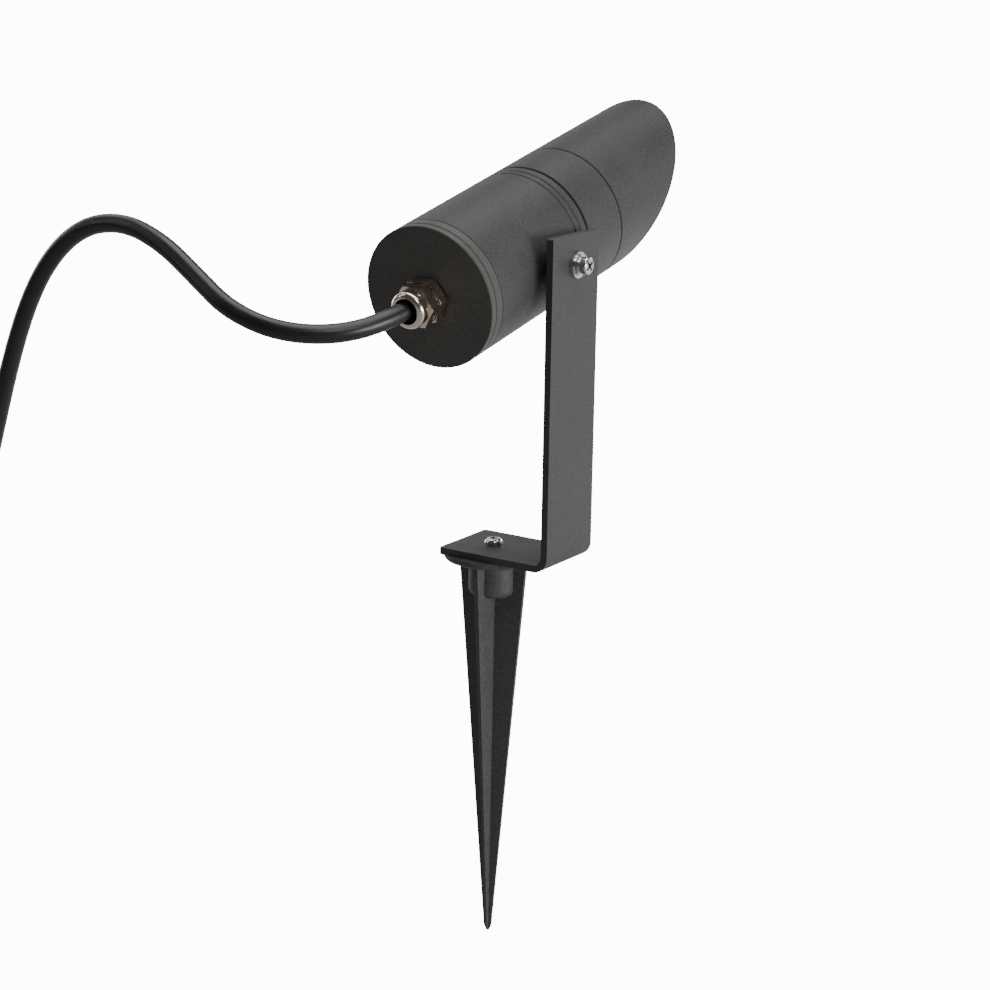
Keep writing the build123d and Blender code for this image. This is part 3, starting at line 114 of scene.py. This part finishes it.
def make_surface_grain():
    """Fine grain over slow mottling, as a sprayed or moulded surface has."""
    group, start, end = new_group(
        "surface grain",
        [
            ("Grain Scale", "NodeSocketFloat", 1400.0),
            ("Mottle Scale", "NodeSocketFloat", 60.0),
            ("Base Color", "NodeSocketColor", (0.1, 0.1, 0.1, 1)),
            ("Fleck Color", "NodeSocketColor", (0.13, 0.13, 0.13, 1)),
            ("Low Roughness", "NodeSocketFloat", 0.45),
            ("High Roughness", "NodeSocketFloat", 0.6),
        ],
        [
            ("Color", "NodeSocketColor"),
            ("Roughness", "NodeSocketFloat"),
            ("Height", "NodeSocketFloat"),
        ],
    )
    place = group.nodes.new("ShaderNodeTexCoord").outputs["Object"]
    grain = noise(group, place, start.outputs["Grain Scale"], detail=3.0, roughness=0.6)
    mottle = noise(group, place, start.outputs["Mottle Scale"])
    fleck = math_node(
        group,
        "ADD",
        math_node(group, "MULTIPLY", spread(group, grain, *GRAIN_SPAN), GRAIN_SHARE),
        math_node(group, "MULTIPLY", spread(group, mottle, *MOTTLE_SPAN), MOTTLE_SHARE),
    )
    colour = blend_colours(
        group, fleck, start.outputs["Base Color"], start.outputs["Fleck Color"]
    )
    rough = spread(
        group,
        mottle,
        *MOTTLE_SPAN,
        start=start.outputs["Low Roughness"],
        end=start.outputs["High Roughness"],
    )
    group.links.new(colour, end.inputs["Color"])
    group.links.new(rough, end.inputs["Roughness"])
    group.links.new(grain, end.inputs["Height"])
    return group


def make_tool_marks():
    """Fine tool marks that are drawn out along Y and Z, for plated and bare metal."""
    group, start, end = new_group(
        "tool marks",
        [
            ("Mark Scale", "NodeSocketFloat", 2600.0),
            ("Base Color", "NodeSocketColor", (0.6, 0.6, 0.6, 1)),
            ("Mark Color", "NodeSocketColor", (0.5, 0.5, 0.5, 1)),
            ("Low Roughness", "NodeSocketFloat", 0.18),
            ("High Roughness", "NodeSocketFloat", 0.35),
        ],
        [
            ("Color", "NodeSocketColor"),
            ("Roughness", "NodeSocketFloat"),
            ("Height", "NodeSocketFloat"),
        ],
    )
    place = group.nodes.new("ShaderNodeTexCoord").outputs["Object"]
    stretch = group.nodes.new("ShaderNodeMapping")
    stretch.inputs["Scale"].default_value = MARK_STRETCH
    group.links.new(place, stretch.inputs["Vector"])
    marks = noise(group, stretch.outputs["Vector"], start.outputs["Mark Scale"], detail=3.0)
    smudge = noise(group, place, SMUDGE_SCALE)
    colour = blend_colours(
        group,
        spread(group, marks, *MARK_SPAN),
        start.outputs["Base Color"],
        start.outputs["Mark Color"],
    )
    rough = spread(
        group,
        smudge,
        *MARK_SPAN,
        start=start.outputs["Low Roughness"],
        end=start.outputs["High Roughness"],
    )
    group.links.new(colour, end.inputs["Color"])
    group.links.new(rough, end.inputs["Roughness"])
    group.links.new(marks, end.inputs["Height"])
    return group


SURFACE_GRAIN = make_surface_grain()
TOOL_MARKS = make_tool_marks()

# ---- finishes ---------------------------------------------------------------------------------

MARK_DEPTH = 0.00003
HAZE_SCALE = 90.0
HAZE_SPAN = (0.35, 0.65)
STRIPE_SIDE = (0.35, 0.25, 0.9)
STRIPE_EDGE = (0.28, 0.34)
INSULATION_SCALE = 500.0


def new_finish(name):
    """An empty node material with its Principled shader."""
    finish = bpy.data.materials.new(name)
    finish.use_nodes = True
    return finish, finish.node_tree, finish.node_tree.nodes["Principled BSDF"]


def use_group(tree, shader, group, values, bump, bump_depth):
    """Place a shared group in a material, wire it to the shader and raise its bump."""
    node = tree.nodes.new("ShaderNodeGroup")
    node.node_tree = group
    for label, value in values.items():
        node.inputs[label].default_value = value
    tree.links.new(node.outputs["Color"], shader.inputs["Base Color"])
    tree.links.new(node.outputs["Roughness"], shader.inputs["Roughness"])
    relief = tree.nodes.new("ShaderNodeBump")
    relief.inputs["Strength"].default_value = bump
    relief.inputs["Distance"].default_value = bump_depth
    tree.links.new(node.outputs["Height"], relief.inputs["Height"])
    tree.links.new(relief.outputs["Normal"], shader.inputs["Normal"])


def grained(
    name,
    base,
    fleck,
    rough,
    grain=1400.0,
    mottle=60.0,
    bump=0.25,
    depth=0.00008,
    specular=0.5,
):
    """A sprayed, moulded or rubber finish: its two colours, its roughness span and its grain."""
    finish, tree, shader = new_finish(name)
    use_group(
        tree,
        shader,
        SURFACE_GRAIN,
        {
            "Grain Scale": grain,
            "Mottle Scale": mottle,
            "Base Color": (*base, 1),
            "Fleck Color": (*fleck, 1),
            "Low Roughness": rough[0],
            "High Roughness": rough[1],
        },
        bump,
        depth,
    )
    shader.inputs["Specular IOR Level"].default_value = specular
    return finish


def machined(name, base, mark, rough, marks=2600.0, bump=0.06):
    """A bare or plated metal finish with fine tool marks."""
    finish, tree, shader = new_finish(name)
    use_group(
        tree,
        shader,
        TOOL_MARKS,
        {
            "Mark Scale": marks,
            "Base Color": (*base, 1),
            "Mark Color": (*mark, 1),
            "Low Roughness": rough[0],
            "High Roughness": rough[1],
        },
        bump,
        MARK_DEPTH,
    )
    shader.inputs["Metallic"].default_value = 1.0
    return finish


def clear(name, tint, rough, ior):
    """Glass or a clear moulding, with a faint haze that varies over it."""
    finish, tree, shader = new_finish(name)
    place = tree.nodes.new("ShaderNodeTexCoord").outputs["Object"]
    haze = spread(tree, noise(tree, place, HAZE_SCALE), *HAZE_SPAN, *rough)
    tree.links.new(haze, shader.inputs["Roughness"])
    shader.inputs["Base Color"].default_value = (*tint, 1)
    shader.inputs["Transmission Weight"].default_value = 1.0
    shader.inputs["IOR"].default_value = ior
    return finish


def striped_core(name, ground, stripe, rough):
    """Wire insulation with a second colour along one side."""
    finish, tree, shader = new_finish(name)
    facing = tree.nodes.new("ShaderNodeTexCoord").outputs["Normal"]
    across = tree.nodes.new("ShaderNodeVectorMath")
    across.operation = "DOT_PRODUCT"
    across.inputs[1].default_value = STRIPE_SIDE
    tree.links.new(facing, across.inputs[0])
    mask = spread(tree, across.outputs["Value"], *STRIPE_EDGE)
    colour = blend_colours(tree, mask, (*ground, 1), (*stripe, 1))
    tree.links.new(colour, shader.inputs["Base Color"])
    place = tree.nodes.new("ShaderNodeTexCoord").outputs["Object"]
    polish = spread(tree, noise(tree, place, INSULATION_SCALE), *MOTTLE_SPAN, *rough)
    tree.links.new(polish, shader.inputs["Roughness"])
    return finish


COAT = grained(
    "anthracite powder coat",
    base=(0.026, 0.026, 0.0267),
    fleck=(0.06, 0.06, 0.0612),
    rough=(0.46, 0.56),
    grain=1500.0,
    mottle=40.0,
    bump=0.5,
    depth=0.00012,
)
BRACKET_COAT = grained(
    "bracket powder coat",
    base=(0.034, 0.034, 0.0352),
    fleck=(0.051, 0.051, 0.0525),
    rough=(0.46, 0.56),
    grain=1500.0,
    mottle=40.0,
    bump=0.4,
    depth=0.0001,
)
# The tube's anthracite powder coat, painted paler on the rear plate as painted light, because its rear
# face gets little light from the lamps.
CAP_COAT_WITH_PAINTED_LIGHT = grained(
    "rear plate powder coat with painted light",
    base=(0.054, 0.0522, 0.0486),
    fleck=(0.0864, 0.0837, 0.0792),
    rough=(0.46, 0.56),
    grain=1500.0,
    mottle=70.0,
    bump=0.3,
    depth=0.0001,
)
SPIKE_BLACK = grained(
    "moulded spike plastic",
    base=(0.066, 0.066, 0.0669),
    fleck=(0.091, 0.091, 0.0922),
    rough=(0.36, 0.5),
    grain=700.0,
    mottle=45.0,
    bump=0.16,
    depth=0.0001,
    specular=0.25,
)
NYLON_BLACK = grained("black nylon", (0.02, 0.02, 0.02), (0.028, 0.028, 0.028), (0.4, 0.5))
# Black seal rubber, made darker than the rubber is as painted shade for the recessed seams where the
# seals sit.
SEAL_RUBBER_WITH_PAINTED_SHADE = grained(
    "seal rubber with painted shade", (0.004, 0.004, 0.004), (0.007, 0.007, 0.007), (0.6, 0.75), specular=0.3
)
JACKET = grained(
    "cord jacket",
    base=(0.011, 0.011, 0.0114),
    fleck=(0.017, 0.017, 0.0176),
    rough=(0.3, 0.4),
    grain=1500.0,
    mottle=120.0,
    bump=0.2,
    depth=0.00006,
)
TIE_PLASTIC = grained("tie plastic", (0.02, 0.02, 0.02), (0.027, 0.027, 0.027), (0.35, 0.45))
CERAMIC = grained(
    "glazed ceramic",
    base=(0.7, 0.68, 0.62),
    fleck=(0.78, 0.76, 0.7),
    rough=(0.15, 0.3),
    grain=500.0,
    mottle=80.0,
    bump=0.05,
)
LAMP_WHITE = grained("white lamp moulding", (0.72, 0.72, 0.7), (0.78, 0.78, 0.76), (0.3, 0.42))
BLOCK_CREAM = grained("cream terminal block", (0.62, 0.57, 0.45), (0.7, 0.65, 0.52), (0.4, 0.5))
SLEEVE_WHITE = grained("white lead sleeve", (0.62, 0.62, 0.6), (0.7, 0.7, 0.68), (0.5, 0.62))
PHOSPHOR = grained("chip phosphor", (0.75, 0.55, 0.08), (0.85, 0.66, 0.14), (0.4, 0.5))
CORE_BROWN = grained("brown insulation", (0.1, 0.035, 0.014), (0.13, 0.048, 0.02), (0.3, 0.4))
CORE_BLUE = grained("blue insulation", (0.012, 0.07, 0.34), (0.018, 0.09, 0.4), (0.3, 0.4))
CORE_EARTH = striped_core(
    "green and yellow insulation", (0.03, 0.24, 0.03), (0.72, 0.6, 0.03), (0.32, 0.42)
)
NICKEL = machined("plated nickel", (0.94, 0.82, 0.73), (0.82, 0.7, 0.61), (0.13, 0.22), bump=0.03)
STAINLESS = machined("stainless steel", (0.76, 0.75, 0.75), (0.64, 0.63, 0.63), (0.1, 0.18))
ZINC_STEEL = machined("zinc-plated steel", (0.58, 0.59, 0.6), (0.46, 0.47, 0.48), (0.25, 0.42))
BRASS = machined("turned brass", (0.72, 0.52, 0.22), (0.6, 0.42, 0.16), (0.2, 0.32))
FRONT_GLASS = clear("toughened glass", (0.9, 0.96, 0.93), (0.01, 0.05), 1.5)
LENS_CLEAR = clear("clear lens", (0.97, 0.97, 0.97), (0.03, 0.09), 1.49)

NODE_FINISHES = {
    "ground_spike": SPIKE_BLACK,
    "spike_insert": BRASS,
    "foot_screw": STAINLESS,
    "bracket": BRACKET_COAT,
    "pivot_screw": STAINLESS,
    "pivot_spring_washer": STAINLESS,
    "pivot_flat_washer": STAINLESS,
    "pivot_friction_washer": NYLON_BLACK,
    "pivot_spacer": COAT,
    "pivot_bush": BRASS,
    "body_tube": COAT,
    "rear_cap": CAP_COAT_WITH_PAINTED_LIGHT,
    "rear_seal_ring": SEAL_RUBBER_WITH_PAINTED_SHADE,
    "collar_seal": SEAL_RUBBER_WITH_PAINTED_SHADE,
    "front_ring": COAT,
    "inner_gasket": SEAL_RUBBER_WITH_PAINTED_SHADE,
    "outer_gasket": SEAL_RUBBER_WITH_PAINTED_SHADE,
    "front_glass": FRONT_GLASS,
    "glare_hood": COAT,
    "hood_lock_screw": STAINLESS,
    "gland_seal_washer": SEAL_RUBBER_WITH_PAINTED_SHADE,
    "gland_body": NICKEL,
    "gland_locknut": NICKEL,
    "gland_seal": SEAL_RUBBER_WITH_PAINTED_SHADE,
    "gland_cap_nut": NICKEL,
    "holder_plate": ZINC_STEEL,
    "plate_circlip": ZINC_STEEL,
    "lamp_holder": CERAMIC,
    "holder_screws": ZINC_STEEL,
    "lamp_housing": LAMP_WHITE,
    "lamp_pins": ZINC_STEEL,
    "led_board": LAMP_WHITE,
    "led_chips": PHOSPHOR,
    "lamp_lens": LENS_CLEAR,
    "terminal_block": BLOCK_CREAM,
    "cable_cores": CORE_BROWN,
    "lamp_leads": SLEEVE_WHITE,
    "earth_lead": CORE_EARTH,
    "earth_lug": ZINC_STEEL,
    "earth_screw": ZINC_STEEL,
    "cord_tie": TIE_PLASTIC,
    "core_brown": CORE_BROWN,
    "core_blue": CORE_BLUE,
    "core_green_yellow": CORE_EARTH,
    "core_ferrules": ZINC_STEEL,
}

for name, finish in NODE_FINISHES.items():
    piece = nodes[name]
    piece.data.materials.clear()
    piece.data.materials.append(finish)

# ---- cord -------------------------------------------------------------------------------------

CORD_RADIUS = 0.0039
CORD_START = PIVOT + AIM * -0.0433
CORD_STRAIGHT_END = PIVOT + AIM * -0.069
CORD_ROUTE = [
    CORD_START,
    CORD_STRAIGHT_END,
    (-0.0096, -0.0906, 0.1093),
    (-0.0288, -0.1066, 0.1098),
    (-0.0520, -0.1106, 0.1166),
    (-0.0730, -0.1058, 0.1276),
    (-0.0935, -0.1020, 0.1386),
    (-0.1155, -0.1004, 0.1446),
    (-0.1395, -0.0990, 0.1396),
    (-0.1605, -0.0985, 0.1216),
    (-0.1765, -0.0992, 0.0910),
    (-0.1934, -0.1010, 0.0345),
    (-0.2130, -0.1035, -0.0348),
    (-0.2310, -0.1060, -0.0965),
    (-0.2460, -0.1082, -0.1360),
    (-0.2645, -0.1104, -0.1560),
    (-0.2880, -0.1119, -0.16575),
]
# The coil's lower layer runs COIL_LIFT above the floor. The cord comes in straight over LEAD_IN
# and leaves its last turn in a straight TAIL.
COIL_LIFT = 0.00525
COIL_CENTRE = Vector((-0.318, -0.062, FLOOR_HEIGHT + COIL_LIFT))
COIL_OUTER = 0.0495
COIL_PITCH = 0.0087
COIL_LAYER = 0.0085
TURNS_IN = 1.75
TURNS_CLIMB = 0.5
TURNS_OUT = 1.4
POINTS_PER_TURN = 20
SMALL_TURN = 0.001
LEAD_IN = 0.0078
TAIL = 0.016
TAIL_BEND = 0.4


def coil_point(turns, outwards=1.0):
    """A point of the coil, which spirals in, climbs a layer and spirals out again.

    outwards widens the turns for the spline's control points, which lie outside its line.
    """
    climb = min(max((turns - TURNS_IN) / TURNS_CLIMB, 0), 1)
    radius = COIL_OUTER - min(turns, TURNS_IN) * COIL_PITCH
    radius -= COIL_PITCH * TURNS_CLIMB * (climb - climb**2)
    radius += max(turns - TURNS_IN - TURNS_CLIMB, 0) * COIL_PITCH
    radius *= outwards
    angle = math.radians(-90 - 360 * turns)
    height = COIL_LAYER * climb**2 * (3 - 2 * climb)
    return COIL_CENTRE + Vector((radius * math.cos(angle), radius * math.sin(angle), height))


def cord_control_points():
    """The cord's route: from inside the gland, over its curl to the floor and round the coil."""
    points = [Vector(point) for point in CORD_ROUTE]
    turns = TURNS_IN + TURNS_CLIMB + TURNS_OUT
    count = round(turns * POINTS_PER_TURN)
    swell = 1 / math.cos(math.pi / POINTS_PER_TURN)
    start_way = (coil_point(SMALL_TURN) - coil_point(0)).normalized()
    end_way = (coil_point(turns) - coil_point(turns - SMALL_TURN)).normalized()
    points.append(coil_point(0) - start_way * LEAD_IN)
    points += [coil_point(turns * (step + 0.5) / count, swell) for step in range(count)]
    points.append(coil_point(turns) + end_way * TAIL * TAIL_BEND)
    points.append(coil_point(turns) + end_way * TAIL)
    return points


def smooth_line(name, points):
    """The points of a spline that the control points steer."""
    curve = bpy.data.curves.new(name, "CURVE")
    curve.dimensions = "3D"
    curve.resolution_u = 6
    spline = curve.splines.new("NURBS")
    spline.points.add(len(points) - 1)
    for slot, point in zip(spline.points, points):
        slot.co = (*point, 1.0)
    spline.order_u = 3
    spline.use_endpoint_u = True
    holder = bpy.data.objects.new(name, curve)
    bpy.context.scene.collection.objects.link(holder)
    bpy.context.view_layer.update()
    mesh = bpy.data.meshes.new_from_object(holder)
    line = [vertex.co.copy() for vertex in mesh.vertices]
    bpy.data.objects.remove(holder)
    bpy.data.meshes.remove(mesh)
    return line


def tube_mesh(name, line, radius, sides=24):
    """A closed tube along a line, with flat ends and no twist."""
    mesh = bpy.data.meshes.new(name)
    shape = bmesh.new()
    way = (line[1] - line[0]).normalized()
    side = way.orthogonal().normalized()
    rings = []
    for place, point in enumerate(line):
        before = line[max(place - 1, 0)]
        after = line[min(place + 1, len(line) - 1)]
        way = (after - before).normalized()
        side = (side - way * side.dot(way)).normalized()
        other = way.cross(side)
        ring = []
        for step in range(sides):
            angle = 2 * math.pi * step / sides
            offset = side * math.cos(angle) + other * math.sin(angle)
            ring.append(shape.verts.new(point + offset * radius))
        rings.append(ring)
    for first, second in zip(rings, rings[1:]):
        for step in range(sides):
            following = (step + 1) % sides
            shape.faces.new((first[step], first[following], second[following], second[step]))
    shape.faces.new(list(reversed(rings[0])))
    shape.faces.new(rings[-1])
    for face in shape.faces:
        face.smooth = len(face.verts) == 4
    bmesh.ops.recalc_face_normals(shape, faces=shape.faces)
    shape.to_mesh(mesh)
    shape.free()
    return mesh


cord_line = smooth_line("cord line", cord_control_points())
cord = bpy.data.objects.new("supply_cord", tube_mesh("supply_cord", cord_line, CORD_RADIUS))
bpy.context.scene.collection.objects.link(cord)
cord.data.materials.append(JACKET)
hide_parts("cord_lead", "cord_fall", "cord_coil")
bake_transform(cord)

# ---- floor, light and camera ------------------------------------------------------------------

# The camera sees floor and room at FLOOR_GLOW. What the floor gives the object grows along Y to
# FLOOR_BOUNCE between the two bounce places, and the room gives ROOM_LIGHT all round.
FLOOR_REACH = 12.0
FLOOR_GLOW = 12.0
FLOOR_BOUNCE = 0.8
BOUNCE_FROM, BOUNCE_TO = -0.1, 0.6
ROOM_LIGHT = 0.06

CAMERA_AZIMUTH = math.radians(33.20)
CAMERA_ELEVATION = math.radians(14.73)
CAMERA_ROLL = math.radians(0.91)
CAMERA_PLACE = (0.5682, -0.8678, 0.3002)
CAMERA_LENS = 92.43
CAMERA_SENSOR = 36
CAMERA_NEAREST = 0.01

# Each soft light: its name, its place, the point that it faces, its two sides and its power.
PANELS = [
    ("side light", (1.8, 0.05, 0.12), (0, 0, 0.05), (1.0, 0.55), 25.5),
    ("top light", (0.1, 0.3, 1.9), (0, 0, 0.1), (2.0, 1.6), 32),
    ("left light", (-1.1, 0.5, 1.0), (0, 0, 0), (0.9, 0.9), 4),
    ("back light", (-0.9, 1.6, 0.4), (0, 0, 0.05), (1.0, 0.8), 1.8),
    ("front light", (1.0, 1.5, 0.65), (0, 0, 0.05), (1.0, 0.8), 2),
    ("low left light", (-1.7, 0.3, 0.25), (0, 0, 0), (0.9, 0.7), 6),
    ("left strip", (-1.2, -0.9, 0.9), (0, 0, 0.1), (0.14, 1.4), 2.5),
    ("upper right light", (0.9, -0.55, 1.1), (0, 0, 0.1), (0.5, 0.5), 3.5),
    ("lamp side light", (0.0, 2.0, 0.5), (0, 0, 0.1), (0.8, 0.6), 10),
]


def make_floor():
    """A plain pale floor that the camera sees as white and that glows faintly behind the spike."""
    mesh = bpy.data.meshes.new("floor")
    signs = [(-1, -1), (1, -1), (1, 1), (-1, 1)]
    corners = [(x * FLOOR_REACH, y * FLOOR_REACH, FLOOR_HEIGHT) for x, y in signs]
    mesh.from_pydata(corners, [], [(0, 1, 2, 3)])
    floor = bpy.data.objects.new("floor", mesh)
    bpy.context.scene.collection.objects.link(floor)
    finish = grained(
        "pale floor",
        base=(0.28, 0.28, 0.28),
        fleck=(0.3, 0.3, 0.3),
        rough=(0.8, 0.9),
        grain=40.0,
        mottle=2.0,
        bump=0.02,
    )
    tree = finish.node_tree
    seen = tree.nodes.new("ShaderNodeLightPath").outputs["Is Camera Ray"]
    split = tree.nodes.new("ShaderNodeSeparateXYZ")
    tree.links.new(tree.nodes.new("ShaderNodeTexCoord").outputs["Object"], split.inputs["Vector"])
    bounce = spread(tree, split.outputs["Y"], BOUNCE_FROM, BOUNCE_TO, 0.0, FLOOR_BOUNCE)
    shader = tree.nodes["Principled BSDF"]
    shader.inputs["Emission Color"].default_value = (1, 1, 1, 1)
    glow = math_node(tree, "ADD", math_node(tree, "MULTIPLY", seen, FLOOR_GLOW), bounce)
    tree.links.new(glow, shader.inputs["Emission Strength"])
    mesh.materials.append(finish)


def add_panel(name, place, target, size, power):
    """A soft rectangular white light that faces a target."""
    lamp = bpy.data.lights.new(name, "AREA")
    lamp.shape = "RECTANGLE"
    lamp.size, lamp.size_y = size
    lamp.energy = power
    panel = bpy.data.objects.new(name, lamp)
    bpy.context.scene.collection.objects.link(panel)
    panel.location = place
    way = Vector(target) - Vector(place)
    panel.rotation_euler = way.to_track_quat("-Z", "Y").to_euler()


def light_room():
    """Surroundings that are seen as white as the floor, but dim, so that metal gets streaks."""
    world = bpy.data.worlds.new("white room")
    bpy.context.scene.world = world
    world.use_nodes = True
    sky = world.node_tree.nodes["Background"]
    sky.inputs["Color"].default_value = (1, 1, 1, 1)
    tree = world.node_tree
    seen = tree.nodes.new("ShaderNodeLightPath").outputs["Is Camera Ray"]
    tree.links.new(spread(tree, seen, 0.0, 1.0, ROOM_LIGHT, FLOOR_GLOW), sky.inputs["Strength"])


def place_camera():
    """The camera at the photograph's angle, distance and lens."""
    back = Vector(
        (
            math.sin(CAMERA_AZIMUTH) * math.cos(CAMERA_ELEVATION),
            -math.cos(CAMERA_AZIMUTH) * math.cos(CAMERA_ELEVATION),
            math.sin(CAMERA_ELEVATION),
        )
    )
    level = Vector((0, 0, 1)).cross(back).normalized()
    upright = back.cross(level)
    right = level * math.cos(CAMERA_ROLL) + upright * math.sin(CAMERA_ROLL)
    up = upright * math.cos(CAMERA_ROLL) - level * math.sin(CAMERA_ROLL)
    lens = bpy.data.cameras.new("camera")
    lens.lens = CAMERA_LENS
    lens.sensor_width = CAMERA_SENSOR
    lens.clip_start = CAMERA_NEAREST
    camera = bpy.data.objects.new("camera", lens)
    bpy.context.scene.collection.objects.link(camera)
    turn = Matrix((right, up, back)).transposed().to_4x4()
    camera.matrix_world = Matrix.Translation(CAMERA_PLACE) @ turn
    bpy.context.scene.camera = camera


make_floor()
light_room()
for panel in PANELS:
    add_panel(*panel)
place_camera()
